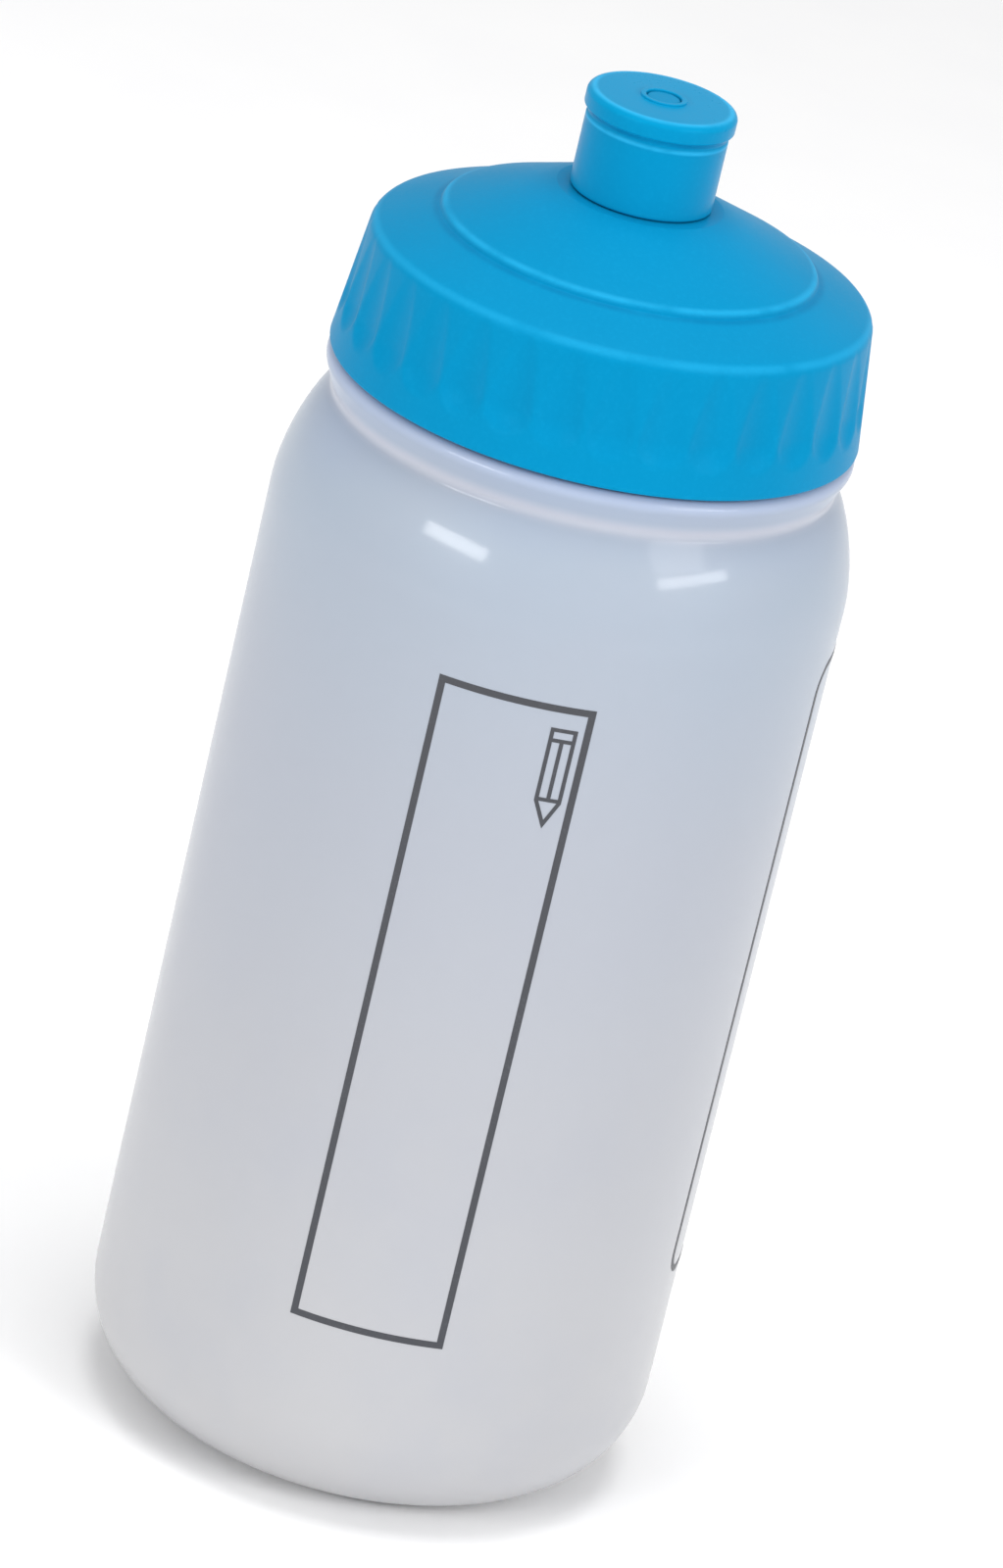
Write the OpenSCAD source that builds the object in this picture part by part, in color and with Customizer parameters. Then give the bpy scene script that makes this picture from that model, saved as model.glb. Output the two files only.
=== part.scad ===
// Sports squeeze bottle: blown bottle, sealing ring, screw lid and push-pull nozzle.
// The bottle stands on z = 0 with its axis on Z, and the name panel side faces -Y.

/* [Bottle] */
// Outside diameter of the straight body
body_d = 74; // [73:0.5:76]
// Height where the straight wall ends and the shoulder begins
straight_top = 125; // [100:1:140]
// Radius of the rounded corner round the base
base_corner = 14; // [8:1:16]
// Thickness of the blown wall
wall = 1.1; // [0.8:0.1:1.4]
// Depth of the dished middle of the base
dish_depth = 2.2; // [1:0.1:3]
// Steepest lean of the rounded shoulder from the vertical, in degrees
shoulder_lean = 31; // [27:1:33]
// Blend radius between body and shoulder
shoulder_blend = 25; // [15:1:26]

/* [Neck] */
// Diameter at the bottom of the groove above the shoulder
groove_d = 64.4; // [63.4:0.2:65]
// Diameter of the hollow bead under the lid
bead_d = 67.4; // [66.6:0.2:68]
// Height of the bead's top above the groove
bead_rise = 5.2; // [4.8:0.2:6]
// Outside diameter of the plain neck
neck_d = 58; // [57:0.2:58.2]
// Height of the neck above the bead
neck_h = 14.4; // [13.6:0.2:14.6]
// Thickness of the neck wall
neck_wall = 1.6; // [1.2:0.1:1.8]

/* [Thread] */
// Lift of the lid for one turn
pitch = 4; // [3.6:0.1:4.2]
// Height of the thread's ridge
thread_h = 1.3; // [1:0.1:1.35]
// Turns of thread on the neck
neck_turns = 1.5; // [1:0.25:1.75]
// Part of a turn that the lid's thread starts after the neck's
lid_lead_in = 0.25; // [0.25:0.25:0.5]

/* [Lid] */
// Diameter of the skirt at its lower edge
skirt_d = 67.6; // [67.4:0.1:68.4]
// Diameter of the skirt at its top edge
lid_top_d = 63.6; // [63.2:0.1:64.4]
// Height of the skirt
skirt_h = 16.6; // [16.4:0.1:17.2]
// Radius of the rounded top edge
lid_edge = 2; // [1:0.1:2.4]
// Slope of the conical top, in degrees
lid_slope = 22.5; // [20:0.5:25]
// Diameter of the raised middle of the top
step_d = 48; // [40:0.5:52]
// Height of the step round that middle
step_h = 0.7; // [0.5:0.05:0.9]
// Number of grip flutes round the skirt
flutes = 32; // [24:1:36]
// Depth of a flute at its lower end
flute_depth = 0.8; // [0.4:0.05:0.85]

/* [Spout and nozzle] */
// Outside diameter of the spout that the nozzle slides on
spout_d = 14; // [13.6:0.1:14.4]
// Radial clearance of the nozzle on the spout and on its tip
slide_fit = 0.1; // [0.05:0.01:0.1]
// Diameter of the spout's tip, which plugs the nozzle
tip_d = 4.3; // [3.8:0.1:4.8]
// Travel of the nozzle from shut to open
nozzle_travel = 5.5; // [4:0.1:5.6]
// Outside diameter of the nozzle's tube
nozzle_d = 18; // [17.6:0.1:18.6]
// Outside diameter of the nozzle's lip
lip_d = 19; // [18.8:0.1:20]
// Length of the nozzle
nozzle_h = 13.1; // [13:0.1:14]

/* [Hidden] */
$fn = 96;

blue = [0.04, 0.61, 0.83];
frosted = [0.78, 0.81, 0.87];
seal_white = [0.93, 0.94, 0.94];

// Roundings of plain edges
fine_edge = 0.3;
soft_edge = 0.5;

// Bottle, from the base up
body_r = body_d / 2;
foot_r = 17;
foot_round = 8;
base_t = 1.4;
groove_r = groove_d / 2;
groove_round = 1.2;
groove_wall = 1.4;
bead_r = bead_d / 2;
bead_side = 1.7;
bead_round = 1.3;
corner_z = straight_top + shoulder_blend * tan(shoulder_lean / 2);
groove_z = corner_z + (body_r - groove_r) / tan(shoulder_lean);
bead_top = groove_z + bead_rise;
bead_low = bead_top - bead_side;
neck_r = neck_d / 2;
neck_bore = neck_r - neck_wall;
neck_top = bead_top + neck_h;
ledge_z = bead_top - neck_wall;
inner_corner_z = groove_z - (body_r - wall - groove_r + groove_wall) / tan(shoulder_lean);

// Thread
thread_foot = 1;
thread_crest = 0.5;
thread_root_overlap = 0.3;
arcs_per_turn = 4;
thread_arc = 82;
thread_rise = 5.2;
thread_z = bead_top + thread_rise;
thread_gap = 0.3;
lid_bore = neck_r + thread_h + thread_gap;
lid_thread_h = thread_h - 0.1;

// Sealing ring
ring_t = 1.2;
ring_gap = 0.1;
ring_z = neck_top + ring_gap;
ring_play = 0.4;
ring_in = neck_bore - ring_gap;
ring_out = lid_bore - ring_play;

// Lid
lid_gap = 0.5;
lid_z = bead_top + lid_gap;
lid_top_z = lid_z + skirt_h;
lid_wall = 1.7;
skirt_rim = 1.4;
skirt_in = skirt_d / 2 - skirt_rim;
bore_flare = 2.3;
ceiling_z = ring_z + ring_t + ring_gap;
ceiling_lap = 0.6;
ceiling_in = neck_bore - ceiling_lap;
step_draft = 0.3;
step_round = 0.6;
function cone_z(r) = lid_top_z + (lid_top_d / 2 - r) * tan(lid_slope);
seat_r = 10.6;
seat_z = cone_z(seat_r) + step_h;
seat_inner = seat_r - 0.4;
flute_r = 6;
flute_end = 3.4;
flute_fade = 10;
flute_over = 3;
skirt_lean = atan((skirt_d - lid_top_d) / 2 / skirt_h);
flute_lean = skirt_lean - atan(flute_depth / flute_fade);

// Spout
spout_r = spout_d / 2;
spout_wall = 1.4;
spout_bore = spout_r - spout_wall;
catch_out = 0.5;
catch_h = 1.15;
catch_face = 0.6;
tip_r = tip_d / 2;
spokes = 3;
spoke_w = 1.4;
spoke_t = 1.4;
spoke_root = 0.5;

// Nozzle, standing on the lid's seat
nozzle_r = nozzle_d / 2;
seat_gap = 0.15;
nozzle_z = seat_z + seat_gap;
nozzle_top = nozzle_z + nozzle_h;
catch_lip = 1.5;
hole_rim = 0.7;
rim_h = 0.3;
lip_r = lip_d / 2;
lip_h = 2.4;
lip_round = 0.9;
lip_top = nozzle_top - rim_h;
lip_z = lip_top - lip_h;
recess_r = nozzle_r - 0.2;
recess_h = 0.9;
chamfer = 0.3;
roof_z = lip_top - 1.7;
sleeve_bore = spout_r + slide_fit;
sleeve_room = sleeve_bore + catch_out;
hole_r = tip_r + slide_fit;
stop_gap = 0.1;
catch_z = nozzle_z + catch_lip + nozzle_travel + stop_gap;
spout_top = catch_z + catch_h;
tip_sunk = 0.2;
tip_top = nozzle_top - tip_sunk;

// An arc that rounds the corner v of the path a, v, b
function unit(v) = v / norm(v);
function turn(a) = a > 180 ? a - 360 : a < -180 ? a + 360 : a;
function corner_arc(a, v, b, r) =
    let (u = unit(a - v), w = unit(b - v), half = acos(u * w) / 2)
    let (c = v + unit(u + w) * r / sin(half), reach = r / tan(half))
    let (p = v + u * reach - c, q = v + w * reach - c)
    let (from = atan2(p[1], p[0]), sweep = turn(atan2(q[1], q[0]) - from))
    let (n = max(2, ceil(abs(sweep) / 12)))
    [for (i = [0:n]) c + r * [cos(from + sweep * i / n), sin(from + sweep * i / n)]];

// A closed outline from corners [radius from the axis, height, rounding]
function rounded(p) = let (n = len(p)) [for (i = [0:n - 1]) each
    let (a = p[(i + n - 1) % n], v = p[i], b = p[(i + 1) % n])
    v[2] > 0 ? corner_arc([a[0], a[1]], [v[0], v[1]], [b[0], b[1]], v[2]) : [[v[0], v[1]]]];

module turned(corners) rotate_extrude() polygon(rounded(corners));

// A right-hand thread on a round wall, in short arcs, each a ring sector tilted to the helix:
// side is 1 outside the wall and -1 inside it, first and last are in turns
module thread(wall_r, height, side, z, first, last) {
    foot = wall_r - side * thread_root_overlap;
    crest = wall_r + side * height;
    section = [[foot, -thread_foot], [crest, -thread_crest], [crest, thread_crest], [foot, thread_foot]];
    helix = atan(pitch / (2 * PI * wall_r));
    for (i = [0:round((last - first) * arcs_per_turn) - 1]) {
        middle = first + (i + 0.5) / arcs_per_turn;
        translate([0, 0, z + pitch * middle]) rotate([0, 0, 360 * middle])
            rotate([helix, 0, 0]) rotate([0, 0, -thread_arc / 2])
                rotate_extrude(angle = thread_arc) polygon(section);
    }
}

// Bottle: one blown wall from the dished base to the threaded neck
module bottle() color(frosted) {
    turned([
        [0, dish_depth, 0],
        [foot_r, 0, foot_round],
        [body_r, 0, base_corner],
        [body_r, corner_z, shoulder_blend],
        [groove_r, groove_z, groove_round],
        [bead_r, bead_low, groove_round],
        [bead_r, bead_top, bead_round],
        [neck_r, bead_top, soft_edge],
        [neck_r, neck_top, fine_edge],
        [neck_bore, neck_top, fine_edge],
        [neck_bore, ledge_z, soft_edge],
        [bead_r - groove_wall, ledge_z, soft_edge],
        [groove_r - groove_wall, groove_z, groove_round],
        [body_r - wall, inner_corner_z, shoulder_blend - wall],
        [body_r - wall, base_t, base_corner - wall],
        [foot_r, base_t, foot_round],
        [0, dish_depth + base_t, 0]
    ]);
    thread(neck_r, thread_h, 1, thread_z, 0, neck_turns);
}

// Soft ring between the neck's rim and the lid
module sealing_ring() color(seal_white)
    turned([
        [ring_in, ring_z, fine_edge],
        [ring_out, ring_z, fine_edge],
        [ring_out, ring_z + ring_t, fine_edge],
        [ring_in, ring_z + ring_t, fine_edge]
    ]);

// One grip flute's cutter: it leans in less than the skirt does, so it runs out upwards
module flute_cutter() {
    foot_z = lid_z + flute_end + sqrt(2 * flute_r * flute_depth);
    skin_r = skirt_d / 2 - (foot_z - lid_z) * tan(skirt_lean);
    translate([skin_r - flute_depth + flute_r, 0, foot_z]) rotate([0, -flute_lean, 0]) {
        sphere(flute_r);
        cylinder(r = flute_r, h = flute_fade + flute_over);
    }
}

module lid_shell() turned([
    [skirt_in, lid_z, fine_edge],
    [skirt_d / 2, lid_z, fine_edge],
    [lid_top_d / 2, lid_top_z, lid_edge],
    [step_d / 2, cone_z(step_d / 2), fine_edge],
    [step_d / 2 - step_draft, cone_z(step_d / 2) + step_h, step_round],
    [seat_r, seat_z, soft_edge],
    [spout_r, seat_z, fine_edge],
    [spout_r, catch_z, 0],
    [spout_r + catch_out, catch_z, 0],
    [spout_r + catch_out, catch_z + catch_face, 0],
    [spout_r, spout_top, 0],
    [spout_bore, spout_top, 0],
    [spout_bore, seat_z - lid_wall, soft_edge],
    [seat_inner, seat_z - lid_wall, soft_edge],
    [ceiling_in, cone_z(ceiling_in) - lid_wall, soft_edge],
    [ceiling_in, ceiling_z, 0],
    [lid_bore, ceiling_z, 0],
    [lid_bore, lid_z + bore_flare, 0]
]);

// Tip that plugs the nozzle, held over the spout's bore by spokes
module spout_tip() {
    translate([0, 0, spout_top - spoke_t])
        for (i = [0:spokes - 1]) rotate([0, 0, 90 + i * 360 / spokes])
            translate([0, -spoke_w / 2, 0]) cube([spout_bore + spoke_root, spoke_w, spoke_t]);
    turned([
        [0, spout_top - spoke_t, 0],
        [tip_r, spout_top - spoke_t, 0],
        [tip_r, tip_top, fine_edge],
        [0, tip_top, 0]
    ]);
}

// Screw lid: fluted skirt, conical top with a raised middle, spout and its tip
module lid() color(blue) {
    difference() {
        lid_shell();
        for (i = [0:flutes - 1]) rotate([0, 0, (i + 0.5) * 360 / flutes]) flute_cutter();
    }
    thread(lid_bore, lid_thread_h, -1, thread_z - pitch / 2, lid_lead_in, neck_turns);
    spout_tip();
}

// Push-pull nozzle: a sleeve with a rounded drinking lip, shut by the spout's tip
module nozzle() color(blue)
    turned([
        [sleeve_bore, nozzle_z, fine_edge],
        [nozzle_r, nozzle_z, fine_edge],
        [nozzle_r, lip_z - recess_h - chamfer, 0],
        [recess_r, lip_z - recess_h, 0],
        [recess_r, lip_z - recess_r + nozzle_r, 0],
        [lip_r, lip_z, fine_edge],
        [lip_r, lip_top, lip_round],
        [hole_r + hole_rim, lip_top, 0],
        [hole_r + hole_rim, nozzle_top, fine_edge / 2],
        [hole_r, nozzle_top, fine_edge / 2],
        [hole_r, roof_z, 0],
        [sleeve_room, roof_z, soft_edge],
        [sleeve_room, nozzle_z + catch_lip, 0],
        [sleeve_bore, nozzle_z + catch_lip, 0]
    ]);

bottle();
sealing_ring();
lid();
nozzle();
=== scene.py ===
"""Sports squeeze bottle: its looks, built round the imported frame.

A blown polyethylene bottle with two printed panels, a soft sealing ring, a screw lid with grip flutes and a
push-pull nozzle. Sizes are in millimetres, and a mesh is made metres when it is finished.
"""

import logging
import math
from collections.abc import Mapping
from dataclasses import dataclass
from enum import Enum
from typing import Any, TypeAlias

import bmesh
import bpy
from bmesh.types import BMEdge, BMFace, BMVert
from mathutils import Matrix, Vector


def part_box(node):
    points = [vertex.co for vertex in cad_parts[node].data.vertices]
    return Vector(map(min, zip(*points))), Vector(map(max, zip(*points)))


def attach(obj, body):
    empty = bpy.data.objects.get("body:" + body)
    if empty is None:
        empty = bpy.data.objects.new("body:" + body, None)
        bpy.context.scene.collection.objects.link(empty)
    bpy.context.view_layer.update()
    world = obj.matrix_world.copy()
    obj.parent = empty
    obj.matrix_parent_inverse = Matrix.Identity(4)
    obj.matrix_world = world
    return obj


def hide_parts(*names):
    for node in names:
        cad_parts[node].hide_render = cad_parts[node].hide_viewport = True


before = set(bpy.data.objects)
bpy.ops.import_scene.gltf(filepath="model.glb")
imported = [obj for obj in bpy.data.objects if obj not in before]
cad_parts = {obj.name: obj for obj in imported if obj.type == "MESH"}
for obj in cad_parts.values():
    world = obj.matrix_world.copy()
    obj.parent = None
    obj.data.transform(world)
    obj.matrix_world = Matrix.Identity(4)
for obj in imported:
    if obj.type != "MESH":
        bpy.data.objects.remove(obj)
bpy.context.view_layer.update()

LOG = logging.getLogger("squeeze_bottle")
MM = 0.001
MERGE = 1e-4
CENTRE = (0.0, 0.0, 0.0)
Z_AXIS = (0.0, 0.0, 1.0)

# The roundings of small moulded edges, and the steps round a bevelled one.
CRISP = 0.1
FINE = 0.2
EASED = 0.3
SOFT = 0.5
EDGE_SEGMENTS = 3

Colour: TypeAlias = tuple[float, float, float, float]
Operand: TypeAlias = "Value | float"
Flat: TypeAlias = tuple[float, float]


class Body(Enum):
    """The moving bodies of the frame."""

    BOTTLE = "bottle"
    SEAL = "seal"
    LID = "lid"
    NOZZLE = "nozzle"


class Bevelled(Enum):
    """What a bevel rounds."""

    CORNERS = "VERTICES"
    EDGES = "EDGES"


class Slot(Enum):
    """The record's material slots."""

    BOTTLE = "frosted_bottle"
    SEAL = "seal"
    LID = "lid_blue"
    NOZZLE = "nozzle_blue"
    INK = "panel_ink"


@dataclass(frozen=True)
class Extent:
    """How far a CAD node reaches, in millimetres: its largest radius, its foot and its top."""

    radius: float
    low: float
    high: float

    @classmethod
    def of(cls, node: str) -> "Extent":
        """Measures a CAD node.

        Args:
            node: The node's name.

        Returns:
            Its extent at rest.
        """
        low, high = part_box(node)
        return cls(high.x / MM, low.z / MM, high.z / MM)


BOTTLE = Extent.of("bottle")
RING = Extent.of("sealing_ring")
LID = Extent.of("lid")
NOZZLE = Extent.of("nozzle")


# ---------------------------------------------------------------------------------------------- mesh work


@dataclass(frozen=True)
class Corner:
    """A corner of an outline: distance from the axis, height, and the radius that rounds it."""

    r: float
    z: float
    rounding: float = 0.0

    def point(self) -> Vector:
        """The corner as a point of the XZ plane."""
        return Vector((self.r, 0.0, self.z))


class Form:
    """A piece under the tools: shaped by bmesh operators, then made an object."""

    ARC_STEP = math.radians(9)
    ARC_LENGTH = 1.6
    SECTORS = 32

    def __init__(self) -> None:
        """Starts with an empty mesh."""
        self.mesh = bmesh.new()

    def outline(self, corners: list[Corner], closed: bool = True) -> None:
        """Draws a line through corners in the XZ plane and rounds those that ask for it.

        Args:
            corners: The corners in order.
            closed: Whether the last corner joins the first.
        """
        points = [self.mesh.verts.new(corner.point()) for corner in corners]
        for start, end in zip(points, points[1:] + points[: int(closed)]):
            self.mesh.edges.new((start, end))
        for before, corner, after in zip(corners[-1:] + corners[:-1], corners, corners[1:] + corners[:1]):
            if corner.rounding > 0:
                self._round(before, corner, after)

    def _round(self, before: Corner, corner: Corner, after: Corner) -> None:
        """Rounds one corner of the line.

        Args:
            before: The corner before it.
            corner: The corner that is rounded.
            after: The corner after it.
        """
        back = before.point() - corner.point()
        ahead = after.point() - corner.point()
        half = back.angle(ahead) / 2
        bend = math.pi - 2 * half
        vert = min(self.mesh.verts, key=lambda v: (v.co - corner.point()).length)
        segments = max(2, round(bend / self.ARC_STEP), round(bend * corner.rounding / self.ARC_LENGTH))
        self.bevel([vert], Bevelled.CORNERS, corner.rounding / math.tan(half), segments)

    def bevel(self, parts: list[BMVert] | list[BMEdge], what: Bevelled, offset: float, segments: int) -> None:
        """Rounds corners or edges.

        Args:
            parts: The vertices or the edges.
            what: Which of the two they are.
            offset: How far from them the rounding begins.
            segments: The number of steps round it.
        """
        bmesh.ops.bevel(
            self.mesh,
            geom=parts,
            offset=offset,
            offset_type="OFFSET",
            affect=what.value,
            segments=segments,
            profile=0.5,
            material=-1,
        )

    def divide(self, longest: float, beyond: float = 0) -> None:
        """Cuts the outline's edges so that none is longer than a length.

        Args:
            longest: The longest edge that is left.
            beyond: Edges that come nearer the axis than this stay as they are.
        """
        for edge in self.mesh.edges[:]:
            cuts = math.ceil(edge.calc_length() / longest) - 1
            if cuts > 0 and min(vert.co.x for vert in edge.verts) >= beyond:
                bmesh.ops.subdivide_edges(self.mesh, edges=[edge], cuts=cuts)

    def spin(self, parts: list[Any], angle: float, steps: int, climb: float = 0) -> None:
        """Spins parts of the mesh round the object's axis.

        Args:
            parts: The vertices, edges and faces.
            angle: The angle that they go through.
            steps: The number of faces along it.
            climb: How far each step rises.
        """
        bmesh.ops.spin(
            self.mesh,
            geom=parts,
            cent=CENTRE,
            axis=Z_AXIS,
            dvec=(0, 0, climb),
            angle=angle,
            steps=steps,
            use_merge=False,
            use_duplicate=False,
        )

    def sector(self, steps: int) -> None:
        """Spins the outline through one of the equal sectors that close() joins.

        Args:
            steps: The number of faces across the sector.
        """
        self.spin(self.mesh.verts[:] + self.mesh.edges[:], math.tau / self.SECTORS, steps)

    def close(self) -> None:
        """Copies the sector all the way round, doubling it each time, and closes its seams and poles."""
        span = math.tau / self.SECTORS
        while span < math.tau - MERGE:
            everything = self.mesh.verts[:] + self.mesh.edges[:] + self.mesh.faces[:]
            copied = bmesh.ops.duplicate(self.mesh, geom=everything)["geom"]
            verts = [part for part in copied if isinstance(part, BMVert)]
            bmesh.ops.rotate(self.mesh, verts=verts, cent=CENTRE, matrix=Matrix.Rotation(span, 3, "Z"))
            span *= 2
        bmesh.ops.remove_doubles(self.mesh, verts=self.mesh.verts, dist=MERGE)
        self.outwards()

    def turn(self, steps: int) -> None:
        """Turns the outline into a round piece.

        Args:
            steps: The number of faces across each sector.
        """
        self.sector(steps)
        self.close()

    def outwards(self) -> None:
        """Turns every face outwards."""
        bmesh.ops.recalc_face_normals(self.mesh, faces=self.mesh.faces)

    def object(self, name: str, sharp: float = 38) -> bpy.types.Object:
        """Makes the mesh an object in metres, shaded smooth up to an angle.

        Args:
            name: The piece's name.
            sharp: The angle, in degrees, past which an edge stays crisp.

        Returns:
            The new object, at the origin.
        """
        bmesh.ops.scale(self.mesh, vec=(MM, MM, MM), verts=self.mesh.verts)
        data = bpy.data.meshes.new(name)
        self.mesh.to_mesh(data)
        self.mesh.free()
        data.shade_smooth()
        data.set_sharp_from_angle(angle=math.radians(sharp))
        piece = bpy.data.objects.new(name, data)
        bpy.context.scene.collection.objects.link(piece)
        return piece


def place(piece: bpy.types.Object, body: Body, slot: Slot, finish: bpy.types.Material, *nodes: str) -> None:
    """Dresses a piece, puts it on its body and reports it.

    Args:
        piece: The finished piece.
        body: The body that carries it.
        slot: Not used.
        finish: Its material.
        nodes: The CAD nodes that it stands for.
    """
    piece.data.materials.append(finish)
    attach(piece, body.value)
    if nodes:
        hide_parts(*nodes)
    LOG.info("%s: %d faces, on %s", piece.name, len(piece.data.polygons), body.value)


# ------------------------------------------------------------------------------------------- shader work


def srgb(red: int, green: int, blue: int) -> Colour:
    """Makes a linear colour from 8-bit display values.

    Args:
        red: Red, 0 to 255.
        green: Green.
        blue: Blue.

    Returns:
        The colour with full alpha.
    """
    linear = [c / 3294.6 if c <= 10 else ((c / 255 + 0.055) / 1.055) ** 2.4 for c in (red, green, blue)]
    return (linear[0], linear[1], linear[2], 1.0)


class Value:
    """A number that varies over a surface: arithmetic on it adds Math nodes."""

    def __init__(self, graph: "Graph", socket: bpy.types.NodeSocket) -> None:
        """Wraps an output socket.

        Args:
            graph: The graph that the socket belongs to.
            socket: The output.
        """
        self.graph = graph
        self.socket = socket

    def math(self, operation: str, *operands: Any) -> "Value":
        """Adds one Math node.

        Args:
            operation: The node's operation.
            operands: Its inputs in order.

        Returns:
            Its result.
        """
        inputs = dict(enumerate(operands))
        node = self.graph.node("ShaderNodeMath", {"operation": operation}, inputs)
        return Value(self.graph, node.outputs[0])

    def __add__(self, other: Operand) -> "Value":
        """self + other."""
        return self.math("ADD", self, other)

    def __radd__(self, other: Operand) -> "Value":
        """other + self."""
        return self.math("ADD", other, self)

    def __sub__(self, other: Operand) -> "Value":
        """self - other."""
        return self.math("SUBTRACT", self, other)

    def __rsub__(self, other: Operand) -> "Value":
        """other - self."""
        return self.math("SUBTRACT", other, self)

    def __mul__(self, other: Operand) -> "Value":
        """self * other."""
        return self.math("MULTIPLY", self, other)

    def __rmul__(self, other: Operand) -> "Value":
        """other * self."""
        return self.math("MULTIPLY", other, self)

    def __truediv__(self, other: Operand) -> "Value":
        """self / other."""
        return self.math("DIVIDE", self, other)

    def __pow__(self, other: Operand) -> "Value":
        """self ** other."""
        return self.math("POWER", self, other)

    def __abs__(self) -> "Value":
        """The size of self."""
        return self.math("ABSOLUTE", self)

    def ease(self, low: float, high: float) -> "Value":
        """Rises smoothly from 0 to 1 as self goes from low to high.

        Args:
            low: Where it leaves 0.
            high: Where it reaches 1; below low, the rise is a fall.

        Returns:
            The eased mask.
        """
        if low > high:
            return 1.0 - self.ease(high, low)
        settings = {"interpolation_type": "SMOOTHSTEP"}
        node = self.graph.node("ShaderNodeMapRange", settings, {0: self, 1: low, 2: high})
        return Value(self.graph, node.outputs[0])

    def band(self, middle: float, half: float) -> "Value":
        """A smooth hump of height 1 round a middle.

        Args:
            middle: Where the hump stands.
            half: How far it reaches on each side.

        Returns:
            The mask.
        """
        return abs(self - middle).ease(half, 0.0)


class Graph:
    """A material under construction."""

    def __init__(self, name: str) -> None:
        """Starts a material with one Principled shader.

        Args:
            name: The material's name.
        """
        self.material = bpy.data.materials.new(name)
        self.material.use_nodes = True
        self.tree = self.material.node_tree
        self.tree.nodes.clear()
        coordinates = self.node("ShaderNodeTexCoord")
        self.point = coordinates.outputs["Object"]
        axes = self.node("ShaderNodeSeparateXYZ", {}, {0: self.point})
        self.x, self.y, self.z = (Value(self, output) / MM for output in axes.outputs)

    def node(
        self,
        kind: str,
        settings: Mapping[str, Any] | None = None,
        inputs: Mapping[int | str, Any] | None = None,
    ) -> bpy.types.Node:
        """Adds any node: its settings come first, then the values or links of its sockets.

        Args:
            kind: The node's type.
            settings: Its properties; "stops" are a colour ramp's (position, colour) pairs.
            inputs: Its sockets by name or number, each with a number, a colour, an output or a Value.

        Returns:
            The new node.
        """
        made = self.tree.nodes.new(kind)
        for name, setting in (settings or {}).items():
            if name == "stops":
                self._stops(made.color_ramp, setting)
            else:
                setattr(made, name, setting)
        for name, source in (inputs or {}).items():
            if isinstance(source, Value):
                source = source.socket
            if isinstance(source, bpy.types.NodeSocket):
                self.tree.links.new(source, made.inputs[name])
            else:
                made.inputs[name].default_value = source
        return made

    @staticmethod
    def _stops(ramp: bpy.types.ColorRamp, stops: list[tuple[float, Colour]]) -> None:
        """Gives a colour ramp its stops.

        Args:
            ramp: The ramp.
            stops: Its positions and colours.
        """
        while len(ramp.elements) < len(stops):
            ramp.elements.new(1.0)
        for element, (position, colour) in zip(ramp.elements, stops):
            element.position = position
            element.color = colour

    def noise(self, size: float, detail: float = 2, stretch: tuple[float, float, float] = (1, 1, 1)) -> Value:
        """A cloudy pattern that wanders round 0, mostly between -0.5 and 0.5.

        Args:
            size: How large its patches are, in millimetres.
            detail: How many finer layers it has.
            stretch: How much denser it is along each axis.

        Returns:
            The pattern.
        """
        mapped = self.node("ShaderNodeMapping", {}, {"Vector": self.point, "Scale": stretch})
        inputs = {"Vector": mapped.outputs[0], "Scale": 1 / (size * MM), "Detail": detail}
        texture = self.node("ShaderNodeTexNoise", {}, inputs)
        return Value(self, texture.outputs[0]) - 0.5

    def ramp(self, along: Value, stops: list[tuple[float, Colour]]) -> bpy.types.NodeSocket:
        """A colour that follows a value.

        Args:
            along: The value, from 0 to 1.
            stops: The ramp's positions and colours.

        Returns:
            The colour's socket.
        """
        return self.node("ShaderNodeValToRGB", {"stops": stops}, {0: along}).outputs[0]

    def mix(self, factor: Operand, first: Any, second: Any) -> bpy.types.NodeSocket:
        """Mixes two colours.

        Args:
            factor: The share of the second.
            first: A colour or a colour's socket.
            second: The other.

        Returns:
            The colour's socket.
        """
        inputs = {0: factor, 6: first, 7: second}
        return self.node("ShaderNodeMix", {"data_type": "RGBA"}, inputs).outputs[2]

    def bump(self, height: Value) -> bpy.types.NodeSocket:
        """Turns a height in millimetres into a normal.

        Args:
            height: The relief.

        Returns:
            The normal's socket.
        """
        inputs = {"Strength": 1.0, "Distance": MM, "Height": height}
        return self.node("ShaderNodeBump", {}, inputs).outputs[0]

    def principled(self, inputs: Mapping[str, Any]) -> bpy.types.Material:
        """Ends the material with its shader.

        Args:
            inputs: The Principled shader's sockets.

        Returns:
            The finished material.
        """
        shader = self.node("ShaderNodeBsdfPrincipled", {}, inputs)
        self.node("ShaderNodeOutputMaterial", {}, {"Surface": shader.outputs[0]})
        return self.material


# ---------------------------------------------------------------------------------------------- finishes


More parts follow.
